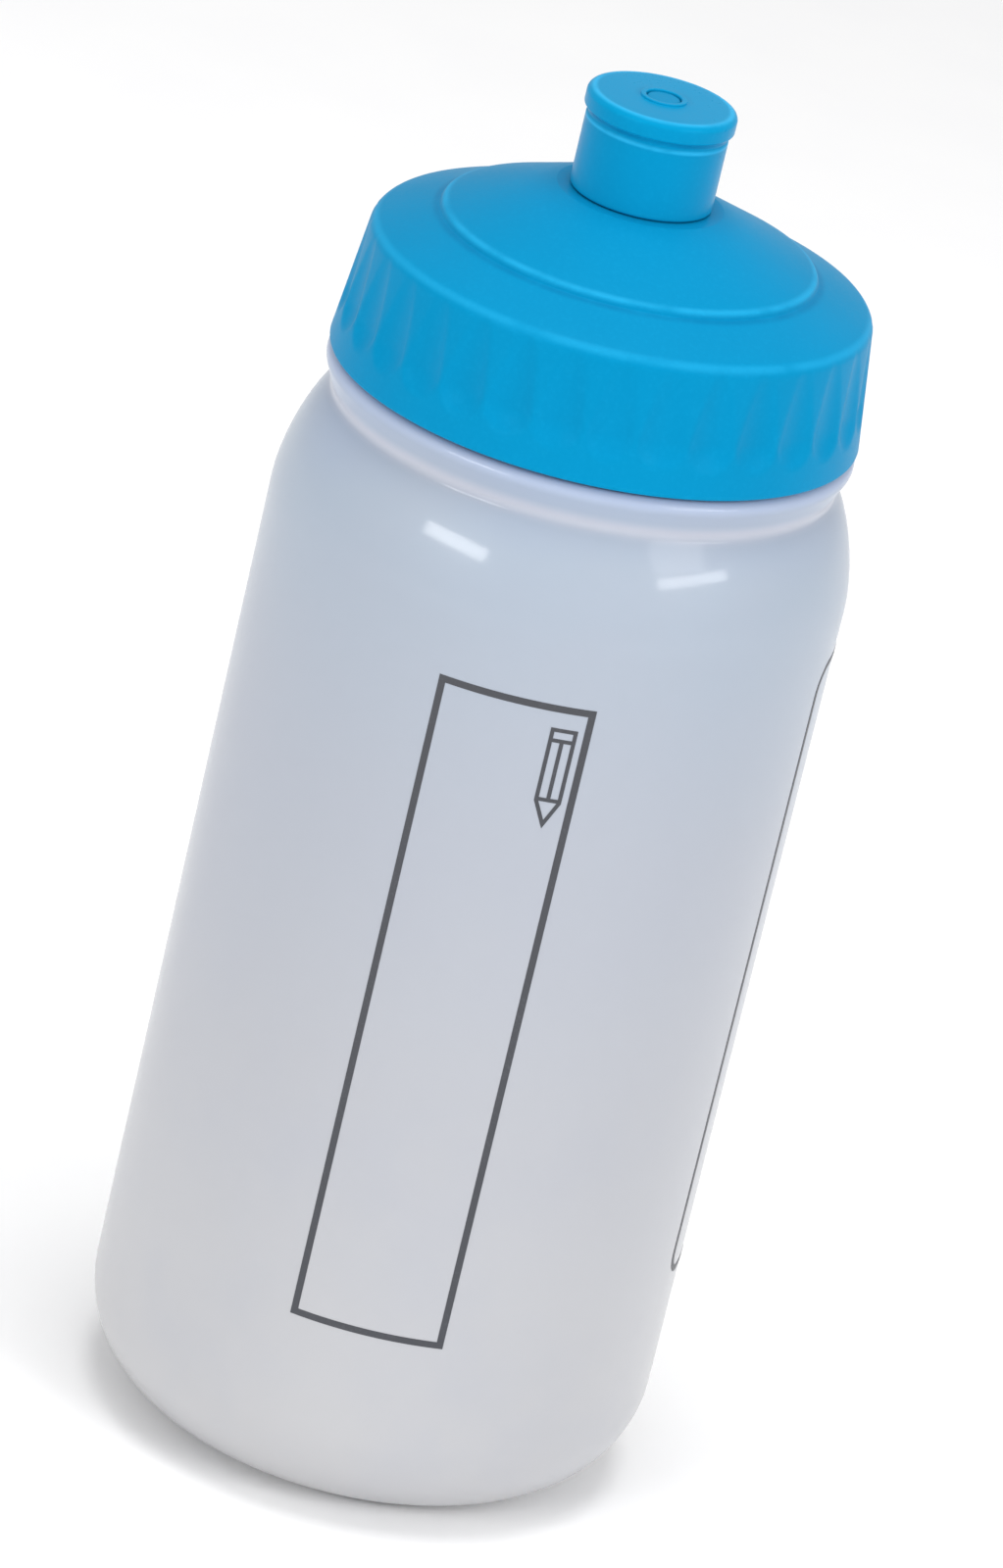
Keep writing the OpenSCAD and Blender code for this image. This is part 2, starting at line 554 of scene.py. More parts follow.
@dataclass(frozen=True)
class FrostedPolyethylene:
    """Natural blown polyethylene: milky, bluer where the shoulder thickens, with soft clouds and a seam, a
    painted light band along its groove and painted light on its bead.
    """

    bottom: Colour = srgb(184, 184, 186)
    middle: Colour = srgb(174, 176, 182)
    upper: Colour = srgb(167, 172, 182)
    shoulder: Colour = srgb(159, 170, 184)
    neck: Colour = srgb(152, 165, 187)
    cloud: Colour = srgb(165, 169, 181)
    cloud_share: float = 0.22
    groove: Colour = srgb(198, 197, 205)
    groove_below_top: float = 19.12
    groove_half: float = 1.7
    groove_light_share: float = 0.5
    bead: Colour = srgb(168, 181, 206)
    bead_foot_below_top: float = 16.32
    bead_side_below_top: float = 14.92
    bead_tone_and_light_share: float = 0.8
    tint_drift: float = 22
    skin_roughness: float = 0.36
    seam_half: float = 0.25
    seam_height: float = 0.04
    seam_begins: float = 20
    seam_full: float = 24

    def make(self) -> bpy.types.Material:
        """Builds the material.

        Returns:
            The finished material.
        """
        graph = Graph("frosted_polyethylene")
        clouds = (graph.noise(26, 3) + graph.noise(7, 2) * 0.35).ease(-0.12, 0.32)
        speckle = graph.noise(0.9, 2)
        return graph.principled(
            {
                "Base Color": self._tint(graph, clouds),
                "Roughness": self.skin_roughness + clouds * 0.06 + speckle * 0.05,
                "IOR": 1.5,
                "Specular IOR Level": 0.1,
                "Coat Weight": 0.48,
                "Coat Roughness": 0.1,
                "Coat IOR": 1.36,
                "Normal": graph.bump(self._relief(graph)),
            }
        )

    def _tint(self, graph: Graph, clouds: Value) -> bpy.types.NodeSocket:
        """Colours the wall from its foot to its neck, then its clouds, a painted light band along its groove,
        and its bead, lighter partly as its own tone and partly as painted light against the shade under the
        lid.

        Args:
            graph: The material under construction.
            clouds: Where the wall is cloudy.

        Returns:
            The colour.
        """
        share_up = (graph.z + graph.noise(45, 1) * self.tint_drift) / BOTTLE.high
        stops = [
            (0.02, self.bottom),
            (0.36, self.middle),
            (0.62, self.upper),
            (0.84, self.shoulder),
            (0.92, self.neck),
        ]
        colour = graph.mix(clouds * self.cloud_share, graph.ramp(share_up, stops), self.cloud)
        below_top = BOTTLE.high - graph.z
        # a painted light band along the groove
        groove_light_mask = below_top.band(self.groove_below_top, self.groove_half)
        colour = graph.mix(groove_light_mask * self.groove_light_share, colour, self.groove)
        # the bead under the lid is lighter and bluer: partly its own tone, partly painted light against the
        # shade under the lid
        on_bead = below_top.ease(self.bead_foot_below_top, self.bead_side_below_top)
        return graph.mix(on_bead * self.bead_tone_and_light_share, colour, self.bead)

    def _relief(self, graph: Graph) -> Value:
        """Makes the wall's slow waves, its fine skin and the mould's seam up both sides.

        Args:
            graph: The material under construction.

        Returns:
            The relief in millimetres.
        """
        seam = abs(graph.y).ease(self.seam_half, 0.0) * abs(graph.x).ease(self.seam_begins, self.seam_full)
        return graph.noise(14, 1) * 0.09 + graph.noise(2.4, 2) * 0.010 + seam * self.seam_height


@dataclass(frozen=True)
class PaintedEdgeLight:
    """A ring of painted light on a moulding: painted highlights on rounded edges and painted shade in corners
    and recesses.
    """

    r: float
    z: float
    half: float
    colour: Colour
    share: float
    core: float = 0.05
    patch: float = 5

    def over(self, graph: Graph, colour: bpy.types.NodeSocket) -> bpy.types.NodeSocket:
        """Lays the painted ring over a colour, stronger in some patches than in others.

        Args:
            graph: The material under construction.
            colour: The colour so far.

        Returns:
            The new colour.
        """
        radius = (graph.x**2 + graph.y**2) ** 0.5
        away = ((radius - self.r) ** 2 + (graph.z - self.z) ** 2) ** 0.5
        patches = (graph.noise(self.patch, 2) * 1.4 + 0.75).ease(0.1, 0.9)
        return graph.mix(away.ease(self.half, self.core) * patches * self.share, colour, self.colour)


@dataclass(frozen=True)
class MouldedBlue:
    """Process blue polyolefin with a fine spark-eroded skin, with painted highlights on rounded edges and
    painted shade in recesses.
    """

    name: str
    colour: Colour
    pale: Colour
    deep: Colour
    roughness: float
    gloss: float
    grain: float
    traces: tuple[PaintedEdgeLight, ...]
    sheen: Colour = srgb(90, 215, 255)

    @classmethod
    def for_lid(cls, painted_highlight: Colour, painted_shade: Colour) -> "MouldedBlue":
        """The lid's blue: satin, with a painted highlight on its step's top edge and on the rounded edge over
        its skirt, and painted shade below the step.

        Args:
            painted_highlight: The colour of a painted highlight along an edge.
            painted_shade: The colour of painted shade in a corner or recess.

        Returns:
            The finish.
        """
        return cls(
            "lid_blue",
            colour=srgb(6, 133, 180),
            pale=srgb(18, 147, 194),
            deep=srgb(4, 125, 171),
            roughness=0.36,
            gloss=0.06,
            grain=0.01,
            traces=(
                # painted highlight on the step's top edge, painted shade below the step, painted highlight on
                # the top's rounded edge
                PaintedEdgeLight(r=23.5, z=LID.low + 20.55, half=0.8, colour=painted_highlight, share=0.36),
                PaintedEdgeLight(r=24.4, z=LID.low + 19.8, half=0.9, colour=painted_shade, share=0.5),
                PaintedEdgeLight(r=31.4, z=LID.low + 16.5, half=0.9, colour=painted_highlight, share=0.25),
            ),
        )

    @classmethod
    def for_nozzle(cls, painted_highlight: Colour, painted_shade: Colour) -> "MouldedBlue":
        """The nozzle's blue: smoother and glossier, with painted highlights on its lip's top edge and on the
        sleeve's upper edge, and painted shade in the recess under the lip.

        Args:
            painted_highlight: The colour of a painted highlight along an edge.
            painted_shade: The colour of painted shade in a corner or recess.

        Returns:
            The finish.
        """
        return cls(
            "nozzle_blue",
            colour=srgb(6, 139, 186),
            pale=srgb(16, 152, 198),
            deep=srgb(4, 131, 178),
            roughness=0.28,
            gloss=0.09,
            grain=0.003,
            traces=(
                # painted highlights on the lip's top edge and the sleeve's upper edge, painted shade in the
                # recess under the lip
                PaintedEdgeLight(r=8.7, z=NOZZLE.high - 0.33, half=0.6, colour=painted_highlight, share=0.6),
                PaintedEdgeLight(r=9.0, z=NOZZLE.high - 3.95, half=0.45, colour=painted_highlight, share=0.7),
                PaintedEdgeLight(r=8.8, z=NOZZLE.high - 3.2, half=0.4, colour=painted_shade, share=0.6),
            ),
        )

    def make(self) -> bpy.types.Material:
        """Builds the material.

        Returns:
            The finished material.
        """
        graph = Graph(self.name)
        flow = graph.noise(19, 2, (1, 1, 0.5)).ease(-0.25, 0.3)
        speckle = graph.noise(0.55, 2)
        colour = graph.mix(flow * 0.35, self.colour, self.deep)
        colour = graph.mix((speckle * 1.6).ease(-0.1, 0.6) * 0.25, colour, self.pale)
        # paints the highlights on rounded edges and the shade in recesses over the blue
        for trace in self.traces:
            colour = trace.over(graph, colour)
        relief = (graph.noise(0.42, 2) + graph.noise(3.0, 1)) * self.grain
        return graph.principled(
            {
                "Base Color": colour,
                "Roughness": self.roughness + speckle * 0.12 + flow * 0.05,
                "IOR": 1.49,
                "Specular IOR Level": self.gloss,
                "Specular Tint": self.sheen,
                "Normal": graph.bump(relief),
            }
        )


@dataclass(frozen=True)
class SoftWhiteRubber:
    """Matt white sealing foam with a fine skin."""

    colour: Colour = srgb(236, 238, 238)
    shade: Colour = srgb(214, 218, 220)

    def make(self) -> bpy.types.Material:
        """Builds the material.

        Returns:
            The finished material.
        """
        graph = Graph("white_rubber")
        grain = graph.noise(0.6, 3)
        colour = graph.mix(grain.ease(-0.2, 0.4) * 0.5, self.colour, self.shade)
        return graph.principled(
            {
                "Base Color": colour,
                "Roughness": 0.68 + grain * 0.2,
                "Normal": graph.bump(grain * 0.03),
            }
        )


@dataclass(frozen=True)
class ScreenInk:
    """Dark grey screen-print ink: a thin film with slight starvation in its grain."""

    colour: Colour = srgb(58, 60, 66)
    thin: Colour = srgb(82, 84, 91)

    def make(self) -> bpy.types.Material:
        """Builds the material.

        Returns:
            The finished material.
        """
        graph = Graph("screen_ink")
        screen_grain = graph.noise(0.35, 2)
        worn = (screen_grain + graph.noise(6, 2) * 0.5).ease(0.0, 0.45)
        return graph.principled(
            {
                "Base Color": graph.mix(worn * 0.5, self.colour, self.thin),
                "Roughness": 0.42 + screen_grain * 0.2,
                "Normal": graph.bump(screen_grain * 0.004),
            }
        )


@dataclass(frozen=True)
class StudioFloor:
    """Pale seamless paper."""

    colour: Colour = srgb(254, 254, 254)
    shade: Colour = srgb(250, 250, 251)

    def make(self) -> bpy.types.Material:
        """Builds the material.

        Returns:
            The finished material.
        """
        graph = Graph("studio_floor")
        colour = graph.mix(graph.noise(30, 3) + 0.5, self.colour, self.shade)
        return graph.principled({"Base Color": colour, "Roughness": 0.9})


@dataclass(frozen=True)
class Finishes:
    """The object's materials, made once."""

    bottle: bpy.types.Material
    seal: bpy.types.Material
    lid: bpy.types.Material
    nozzle: bpy.types.Material
    ink: bpy.types.Material

    @classmethod
    def make(cls) -> "Finishes":
        """Builds every material.

        Returns:
            The set.
        """
        # the colours of the painted highlights and the painted shade on the blue mouldings' edges
        painted_highlight, painted_shade = srgb(50, 180, 230), srgb(3, 104, 152)
        return cls(
            bottle=FrostedPolyethylene().make(),
            seal=SoftWhiteRubber().make(),
            lid=MouldedBlue.for_lid(painted_highlight, painted_shade).make(),
            nozzle=MouldedBlue.for_nozzle(painted_highlight, painted_shade).make(),
            ink=ScreenInk().make(),
        )


# ---------------------------------------------------------------------------------------- sub-assemblies


@dataclass(frozen=True)
class Thread:
    """A right-hand thread on a round wall, in short arcs whose ends run out into the wall."""

    wall_r: float
    height: float
    side: int
    start_z: float
    first: float
    last: float
    pitch: float = 4
    arcs_per_turn: int = 4
    arc: float = 82
    foot: float = 1.0
    crest: float = 0.5
    crest_round: float = 0.22
    root: float = 0.3
    run_out: float = 9
    end_share: float = 0.1
    steps: int = 22

    def build(self, name: str) -> bpy.types.Object:
        """Builds all the arcs as one piece.

        Args:
            name: The piece's name.

        Returns:
            The piece.
        """
        form = Form()
        for index in range(round((self.last - self.first) * self.arcs_per_turn)):
            begin = self.first + (index + 0.5) / self.arcs_per_turn - self.arc_turn / 2
            old = set(form.mesh.verts)
            self._arc(form)
            new = [vert for vert in form.mesh.verts if vert not in old]
            turned = Matrix.Rotation(math.tau * begin, 3, "Z")
            bmesh.ops.rotate(form.mesh, verts=new, cent=CENTRE, matrix=turned)
            bmesh.ops.translate(form.mesh, verts=new, vec=(0, 0, self.start_z + self.pitch * begin))
        form.outwards()
        return form.object(name)

    @property
    def arc_turn(self) -> float:
        """The share of a turn that one arc covers."""
        return self.arc / 360

    def _arc(self, form: Form) -> None:
        """Spins one rounded section along the helix, fades its ends and adds it to the thread.

        Args:
            form: The thread so far.
        """
        foot_r = self.wall_r - self.side * self.root
        crest_r = self.wall_r + self.side * self.height
        section = Form()
        section.outline(
            [
                Corner(foot_r, -self.foot),
                Corner(crest_r, -self.crest, self.crest_round),
                Corner(crest_r, self.crest, self.crest_round),
                Corner(foot_r, self.foot),
            ]
        )
        bmesh.ops.contextual_create(section.mesh, geom=section.mesh.edges[:])
        climb = self.pitch * self.arc_turn / self.steps
        section.spin(section.mesh.faces[:], math.radians(self.arc), self.steps, climb)
        for vert in section.mesh.verts:
            radius = math.hypot(vert.co.x, vert.co.y)
            turned = math.degrees(math.atan2(vert.co.y, vert.co.x))
            share = min(1.0, max(0.0, min(turned, self.arc - turned) / self.run_out))
            share = share * share * (3 - 2 * share)
            faded = foot_r + (radius - foot_r) * (self.end_share + (1 - self.end_share) * share)
            vert.co.x *= faded / radius
            vert.co.y *= faded / radius
        held = bpy.data.meshes.new("thread_arc")
        section.mesh.to_mesh(held)
        section.mesh.free()
        form.mesh.from_mesh(held)
        bpy.data.meshes.remove(held)


@dataclass
class BlownBottle:
    """The blown bottle: its wall, the thread on its neck and the pinch-off seam under its base."""

    finishes: Finishes
    film: float = 0.04
    straight_top: float = 125
    base_corner: float = 14
    wall: float = 1.1
    dish_depth: float = 2.2
    foot_r: float = 17
    foot_round: float = 8
    base_t: float = 1.4
    shoulder_lean: float = 31
    shoulder_blend: float = 25
    groove_r: float = 32.2
    groove_round: float = 1.2
    groove_wall: float = 1.4
    bead_r: float = 33.7
    bead_round: float = 1.3
    bead_side: float = 1.7
    neck_r: float = 29
    neck_wall: float = 1.6
    neck_h: float = 14.4
    thread_rise: float = 5.2
    thread_h: float = 1.3
    neck_turns: float = 1.5
    seam_length: float = 29
    seam_width: float = 1.1
    seam_height: float = 0.35
    seam_depth: float = 0.5
    seam_cuts: int = 24
    grid: float = 8
    steps: int = 8

    def build(self) -> None:
        """Builds the pieces and dresses them."""
        place(self._body(), Body.BOTTLE, Slot.BOTTLE, self.finishes.bottle, "bottle")
        thread = Thread(self.neck_r, self.thread_h, 1, self.bead_top + self.thread_rise, 0, self.neck_turns)
        place(thread.build("neck_thread"), Body.BOTTLE, Slot.BOTTLE, self.finishes.bottle)
        place(self._pinch_off(), Body.BOTTLE, Slot.BOTTLE, self.finishes.bottle)

    @property
    def radius(self) -> float:
        """The skin's radius, a film's thickness inside the printed panels."""
        return BOTTLE.radius - self.film

    @property
    def bead_top(self) -> float:
        """The height of the bead's top."""
        return BOTTLE.high - self.neck_h

    def _body(self) -> bpy.types.Object:
        """Turns the blown wall, inside and out.

        Returns:
            The piece.
        """
        lean = math.tan(math.radians(self.shoulder_lean))
        corner_z = self.straight_top + self.shoulder_blend * math.tan(math.radians(self.shoulder_lean) / 2)
        groove_z = corner_z + (BOTTLE.radius - self.groove_r) / lean
        inner_z = groove_z - (self.radius - self.wall - self.groove_r + self.groove_wall) / lean
        ledge_z = self.bead_top - self.neck_wall
        bore = self.neck_r - self.neck_wall
        form = Form()
        form.outline(
            [
                Corner(0, self.dish_depth),
                Corner(self.foot_r, 0, self.foot_round),
                Corner(self.radius, 0, self.base_corner),
                Corner(self.radius, corner_z, self.shoulder_blend),
                Corner(self.groove_r, groove_z, self.groove_round),
                Corner(self.bead_r, self.bead_top - self.bead_side, self.groove_round),
                Corner(self.bead_r, self.bead_top, self.bead_round),
                Corner(self.neck_r, self.bead_top, SOFT),
                Corner(self.neck_r, BOTTLE.high, EASED),
                Corner(bore, BOTTLE.high, EASED),
                Corner(bore, ledge_z, SOFT),
                Corner(self.bead_r - self.groove_wall, ledge_z, SOFT),
                Corner(self.groove_r - self.groove_wall, groove_z, self.groove_round),
                Corner(self.radius - self.wall, inner_z, self.shoulder_blend - self.wall),
                Corner(self.radius - self.wall, self.base_t, self.base_corner - self.wall),
                Corner(self.foot_r, self.base_t, self.foot_round),
                Corner(0, self.dish_depth + self.base_t),
            ],
            closed=False,
        )
        form.divide(self.grid)
        form.turn(self.steps)
        return form.object("bottle_body")

    def _pinch_off(self) -> bpy.types.Object:
        """Makes the low ridge that the mould pinches across the base, following its dish.

        Returns:
            The piece.
        """
        form = Form()
        sized = Matrix.Diagonal((self.seam_length, self.seam_width, 1, 1))
        bmesh.ops.create_cube(form.mesh, size=1, matrix=sized)
        form.bevel(form.mesh.edges[:], Bevelled.EDGES, EASED, EDGE_SEGMENTS)
        lengthwise = [edge for edge in form.mesh.edges if edge.calc_length() > self.seam_length / 2]
        bmesh.ops.subdivide_edges(form.mesh, edges=lengthwise, cuts=self.seam_cuts)
        end = self.seam_length / 2 + CRISP  # a little past the ridge, so that its ends stay blunt
        for vert in form.mesh.verts:
            dish = self.dish_depth * (1 - abs(vert.co.x) / self.foot_r)
            ridge = self.seam_height * math.sqrt(1 - (vert.co.x / end) ** 2)
            above = vert.co.z + 0.5
            vert.co.z = dish + self.seam_depth * above - ridge * (1 - above)
        form.outwards()
        return form.object("pinch_off_seam")


def rectangle(left: float, low: float, right: float, high: float) -> list[Flat]:
    """Lists the corners of an upright rectangle.

    Args:
        left: Its left side.
        low: Its foot.
        right: Its right side.
        high: Its top.

    Returns:
        The corners in order.
    """
    return [(left, low), (right, low), (right, high), (left, high)]


@dataclass(frozen=True)
class Panel:
    """A printed frame on the bottle's wall: it is drawn flat and wrapped round the wall."""

    name: str
    azimuth: float
    low: float
    high: float
    width: float = 20
    stroke: float = 0.9
    rounding: float = 0

    def build(self) -> bpy.types.Object:
        """Builds the frame.

        Returns:
            The piece.
        """
        film = InkFilm()
        half = self.width / 2
        film.ring(rectangle(-half, self.low, half, self.high), self.stroke, self.rounding)
        return film.wrap(self.name, self.azimuth)


class InkFilm(Form):
    """Flat printed shapes, in millimetres along the wall and up it, that become a film on the wall."""

    THICKNESS = 0.06
    STEP = 0.9
    SNAP = 1e-5
    ROUNDING_SEGMENTS = 8

    def shape(self, points: list[Flat]) -> BMFace:
        """Draws a filled shape.

        Args:
            points: Its corners, each the distance along the wall and the height.

        Returns:
            The face.
        """
        face = self.mesh.faces.new([self.mesh.verts.new((along, 0, up)) for along, up in points])
        face.normal_update()
        return face

    def ring(self, points: list[Flat], stroke: float, rounding: float = 0) -> None:
        """Draws a shape's outline.

        Args:
            points: Its corners.
            stroke: The line's width.
            rounding: The offset that rounds its corners.
        """
        old = set(self.mesh.faces)
        face = self.shape(points)
        if rounding > 0:
            self.bevel(list(face.verts), Bevelled.CORNERS, rounding, self.ROUNDING_SEGMENTS)
        drawn = [found for found in self.mesh.faces if found not in old]
        bmesh.ops.inset_region(
            self.mesh, faces=drawn, thickness=stroke, use_boundary=True, use_even_offset=True
        )
        drawn = [found for found in self.mesh.faces if found not in old]
        inside = max(drawn, key=lambda found: (len(found.verts), found.calc_area()))
        bmesh.ops.delete(self.mesh, geom=[inside], context="FACES_ONLY")

    def wrap(self, name: str, azimuth: float) -> bpy.types.Object:
        """Wraps the shapes round the wall and gives them a film's thickness.

        Args:
            name: The piece's name.
            azimuth: Where its middle stands, in degrees from -Y towards +X.

        Returns:
            The piece.
        """
        reach = max(abs(vert.co.x) for vert in self.mesh.verts)
        count = math.floor(reach / self.STEP)
        for index in range(-count, count + 1):
            bmesh.ops.bisect_plane(
                self.mesh,
                geom=self.mesh.verts[:] + self.mesh.edges[:] + self.mesh.faces[:],
                dist=self.SNAP,
                plane_co=(index * self.STEP, 0, 0),
                plane_no=(1, 0, 0),
            )
        middle = math.radians(azimuth)
        for vert in self.mesh.verts:
            angle = middle + vert.co.x / BOTTLE.radius
            vert.co.x = BOTTLE.radius * math.sin(angle)
            vert.co.y = -BOTTLE.radius * math.cos(angle)
        grown = bmesh.ops.extrude_face_region(self.mesh, geom=self.mesh.faces[:])["geom"]
        inner = [vert for vert in grown if isinstance(vert, BMVert)]
        shrink = 1 - self.THICKNESS / BOTTLE.radius
        bmesh.ops.scale(self.mesh, vec=(shrink, shrink, 1), verts=inner)
        self.outwards()
        return self.object(name)


@dataclass(frozen=True)
class PencilSign:
    """A small pencil beside the frame's edge, which says that the panel is for writing in."""

    azimuth: float
    top: float
    length: float = 13.5
    width: float = 3.4
    point: float = 3.6
    line: float = 0.5
    band: float = 1.9

    def build(self) -> bpy.types.Object:
        """Builds the sign.

        Returns:
            The piece.
        """
        half = self.width / 2
        inner = half - self.line
        bottom = self.top - self.length
        shoulder = bottom + self.point
        film = InkFilm()
        right, left = [(half, shoulder), (half, self.top)], [(-half, self.top), (-half, shoulder)]
        film.ring([(0, bottom), *right, *left], self.line)
        for low in (shoulder, self.top - self.band):
            film.shape(rectangle(-inner, low, inner, low + self.line))
        rib = self.line / 2
        film.shape(rectangle(-rib, shoulder + self.line, rib, self.top - self.band))
        return film.wrap("pencil_sign", self.azimuth)


@dataclass
class PrintedPanels:
    """The screen-printed name panel with its sign, and the plain panel round the side."""

    finishes: Finishes
    name_azimuth: float = -0.6
    name_span: tuple[float, float] = (28.5, 118)
    side_azimuth: float = 90.4
    side_span: tuple[float, float] = (32.5, 120)
    side_rounding: float = 4
    sign_offset: float = 6.6
    sign_top: float = 115

    def build(self) -> None:
        """Builds the prints and dresses them."""
        sign_azimuth = self.name_azimuth + math.degrees(self.sign_offset / BOTTLE.radius)
        for piece in (
            Panel("name_panel", self.name_azimuth, *self.name_span).build(),
            PencilSign(sign_azimuth, self.sign_top).build(),
            Panel("side_panel", self.side_azimuth, *self.side_span, rounding=self.side_rounding).build(),
        ):
            place(piece, Body.BOTTLE, Slot.INK, self.finishes.ink)


@dataclass
class SealingRing:
    """The flat soft ring between the neck's rim and the lid."""

    finishes: Finishes
    bore_r: float = 27.3
    rounding: float = 0.3
    steps: int = 6

    def build(self) -> None:
        """Builds the ring and dresses it."""
        form = Form()
        form.outline(
            [
                Corner(self.bore_r, RING.low, self.rounding),
                Corner(RING.radius, RING.low, self.rounding),
                Corner(RING.radius, RING.high, self.rounding),
                Corner(self.bore_r, RING.high, self.rounding),
            ]
        )
        form.turn(self.steps)
        place(form.object("sealing_ring_soft"), Body.SEAL, Slot.SEAL, self.finishes.seal, "sealing_ring")


@dataclass
class ScrewLid:
    """The screw lid: fluted skirt, conical top with a raised middle, thread, spout and the spout's tip."""

    finishes: Finishes
    skirt_r: float = 33.8
    top_r: float = 31.8
    skirt_h: float = 16.6
    edge_round: float = 2
    slope: float = 22.5
    skirt_rim: float = 1.4
    step_r: float = 24
    step_h: float = 0.7
    step_draft: float = 0.3
    step_round: float = 0.6
    wall: float = 1.7
    seat_r: float = 10.6
    seat_inset: float = 0.4
    bore_r: float = 30.6
    bore_flare: float = 2.3
    ceiling_r: float = 26.8
    ceiling_gap: float = 0.1
    flute_r: float = 6
    flute_depth: float = 0.8
    flute_end: float = 3.4
    flute_fade: float = 10
    flute_skin: float = 0.3
    flute_grid: float = 0.45
    grid: float = 3
    spout_r: float = 7
    spout_bore: float = 5.6
    catch_out: float = 0.5
    catch_face: float = 0.6
    catch_h: float = 1.15
    catch_below_tip: float = 5.8
    tip_r: float = 2.15
    tip_steps: int = 2
    spokes: int = 3
    spoke: float = 1.4
    spoke_clear: float = 0.014
    spoke_root: float = 0.3
    spoke_round: float = 0.18
    first_spoke: float = 90
    thread_h: float = 1.2
    thread_rise: float = 2.7
    lead_in: float = 0.25
    turns: float = 1.5
    steps: int = 15

    def build(self) -> None:
        """Builds the pieces and dresses them."""
        place(self._shell(), Body.LID, Slot.LID, self.finishes.lid, "lid")
        thread = Thread(self.bore_r, self.thread_h, -1, LID.low + self.thread_rise, self.lead_in, self.turns)
        place(thread.build("lid_thread"), Body.LID, Slot.LID, self.finishes.lid)
        place(self._tip(), Body.LID, Slot.LID, self.finishes.lid)

    @property
    def catch_z(self) -> float:
        """The height of the catch that stops the nozzle."""
        return LID.high - self.catch_below_tip

    def _cone_z(self, radius: float) -> float:
        """The height of the conical top at a distance from the axis."""
        return LID.low + self.skirt_h + (self.top_r - radius) * math.tan(math.radians(self.slope))

    def _shell(self) -> bpy.types.Object:
        """Turns the lid with its spout and sinks the flutes into its skirt.

        Returns:
            The piece.
        """
        low = LID.low
        step_z = self._cone_z(self.step_r)
        seat_z = self._cone_z(self.seat_r) + self.step_h
        ceiling_z = RING.high + self.ceiling_gap
        spout_top = self.catch_z + self.catch_h
        form = Form()
        form.outline(
            [
                Corner(self.skirt_r - self.skirt_rim, low, EASED),
                Corner(self.skirt_r, low, EASED),
                Corner(self.top_r, low + self.skirt_h, self.edge_round),
                Corner(self.step_r, step_z, EASED),
                Corner(self.step_r - self.step_draft, step_z + self.step_h, self.step_round),
                Corner(self.seat_r, seat_z, SOFT),
                Corner(self.spout_r, seat_z, EASED),
                Corner(self.spout_r, self.catch_z),
                Corner(self.spout_r + self.catch_out, self.catch_z, CRISP),
                Corner(self.spout_r + self.catch_out, self.catch_z + self.catch_face, CRISP),
                Corner(self.spout_r, spout_top, FINE),
                Corner(self.spout_bore, spout_top, FINE),
                Corner(self.spout_bore, seat_z - self.wall, SOFT),
                Corner(self.seat_r - self.seat_inset, seat_z - self.wall, SOFT),
                Corner(self.ceiling_r, self._cone_z(self.ceiling_r) - self.wall, SOFT),
                Corner(self.ceiling_r, ceiling_z),
                Corner(self.bore_r, ceiling_z),
                Corner(self.bore_r, low + self.bore_flare),
            ]
        )
        form.divide(self.flute_grid, beyond=self.top_r - self.edge_round)
        form.divide(self.grid)
        form.sector(self.steps)
        self._sink_flute(form)
        form.close()
        return form.object("lid_shell")

    def _sink_flute(self, form: Form) -> None:
        """Moves the sector's skin in to make a concave grip flute, round-ended below and fading upwards.

        Args:
            form: The sector of the lid.
        """
        lean = (self.skirt_r - self.top_r) / self.skirt_h
        foot_z = LID.low + self.flute_end + math.sqrt(2 * self.flute_r * self.flute_depth)
        middle = math.pi / Form.SECTORS
        for vert in form.mesh.verts:
            radius = math.hypot(vert.co.x, vert.co.y)
            skin_r = self.skirt_r - (vert.co.z - LID.low) * lean - self.flute_skin
            if radius < skin_r or vert.co.z > self._cone_z(self.top_r):
                continue
            if vert.co.z < foot_z:
                depth = self.flute_depth - (foot_z - vert.co.z) ** 2 / (2 * self.flute_r)
            else:
                depth = self.flute_depth * (1 - (vert.co.z - foot_z) / self.flute_fade)
            offset = (math.atan2(vert.co.y, vert.co.x) - middle) * radius
            sunk = max(0.0, depth - offset**2 / (2 * self.flute_r))
            vert.co.x *= 1 - sunk / radius
            vert.co.y *= 1 - sunk / radius

    def _tip(self) -> bpy.types.Object:
        """Turns the tip that plugs the nozzle and joins it to the spout with spokes.

        Returns:
            The piece.
        """
        top = self.catch_z + self.catch_h
        form = Form()
        form.outline(
            [
                Corner(0, top - self.spoke),
                Corner(self.tip_r, top - self.spoke, CRISP),
                Corner(self.tip_r, LID.high, EASED),
                Corner(0, LID.high),
            ],
            closed=False,
        )
        form.turn(self.tip_steps)
        reach = self.spout_bore + self.spoke_root
        centred = Matrix.Translation((reach / 2, 0, top - self.spoke / 2))
        sized = Matrix.Diagonal((reach, self.spoke, self.spoke - 2 * self.spoke_clear, 1))
        for index in range(self.spokes):
            turned = Matrix.Rotation(math.radians(self.first_spoke) + index * math.tau / self.spokes, 4, "Z")
            made = bmesh.ops.create_cube(form.mesh, size=1, matrix=turned @ centred @ sized)
            edges = list(dict.fromkeys(edge for vert in made["verts"] for edge in vert.link_edges))
            form.bevel(edges, Bevelled.EDGES, self.spoke_round, EDGE_SEGMENTS)
        form.outwards()
        return form.object("spout_tip")


